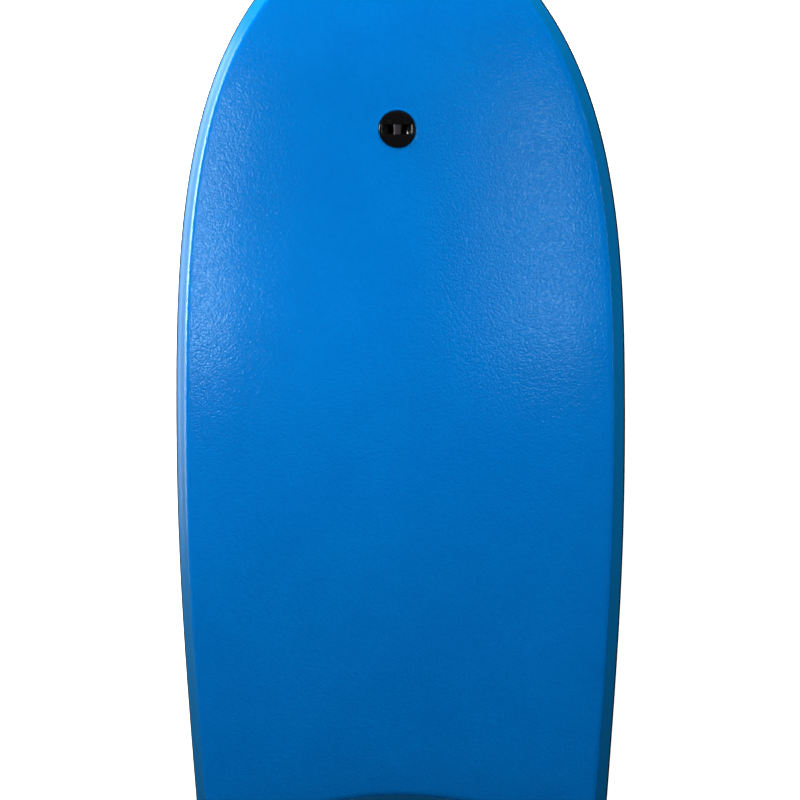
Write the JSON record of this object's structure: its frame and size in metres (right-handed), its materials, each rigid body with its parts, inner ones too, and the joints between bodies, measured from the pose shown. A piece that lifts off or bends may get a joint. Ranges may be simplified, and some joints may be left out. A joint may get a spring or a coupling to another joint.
{
  "type": "bodyboard",
  "caption": "Foam wave-riding board with a raised blunt nose, crescent tail, bevelled rails, hard channelled underside and a leash plug in the deck.",
  "frame": {"origin": "middle of the board's outline box, on the plane that the underside rests on", "axes": "+X across the board to the right as seen from above with the nose away, +Y along the board towards the nose, +Z out of the deck"},
  "size_m": [0.495, 0.94, 0.1014],
  "materials": {
    "deck_foam": "blue closed-cell foam with a fine pebble grain and a soft sheen",
    "upper_rail_foam": "blue closed-cell foam, smooth heat-sealed skin",
    "lower_rail_foam": "black closed-cell foam, smooth heat-sealed skin",
    "core_foam": "white bead foam",
    "backing_foam": "black closed-cell foam sheet",
    "mesh": "open polymer mesh",
    "slick": "smooth black polyethylene sheet, satin gloss",
    "fibreglass": "pultruded glass fibre",
    "cap_plastic": "moulded grey plastic",
    "plug_plastic": "glossy black moulded plastic with faint scuffs",
    "bar_plastic": "dark grey moulded plastic, satin",
    "washer_rubber": "soft black rubber"
  },
  "bodies": {
    "root": {"foam_core": "core_foam", "stringer_tube": "fibreglass", "stringer_cap_front": "cap_plastic", "stringer_cap_rear": "cap_plastic", "reinforcement_mesh": "mesh", "deck_skin": "deck_foam", "upper_rail_left": "upper_rail_foam", "upper_rail_right": "upper_rail_foam", "lower_rail_left": "lower_rail_foam", "lower_rail_right": "lower_rail_foam", "nose_upper_rail": "upper_rail_foam", "nose_lower_rail": "lower_rail_foam", "tail_upper_rail": "upper_rail_foam", "tail_lower_rail": "lower_rail_foam", "slick_backing": "backing_foam", "slick_skin": "slick", "leash_plug_deck": "plug_plastic", "leash_bar": "bar_plastic", "leash_plug_slick": "plug_plastic", "deck_washer": "washer_rubber", "slick_washer": "washer_rubber"}
  },
  "joints": []
}
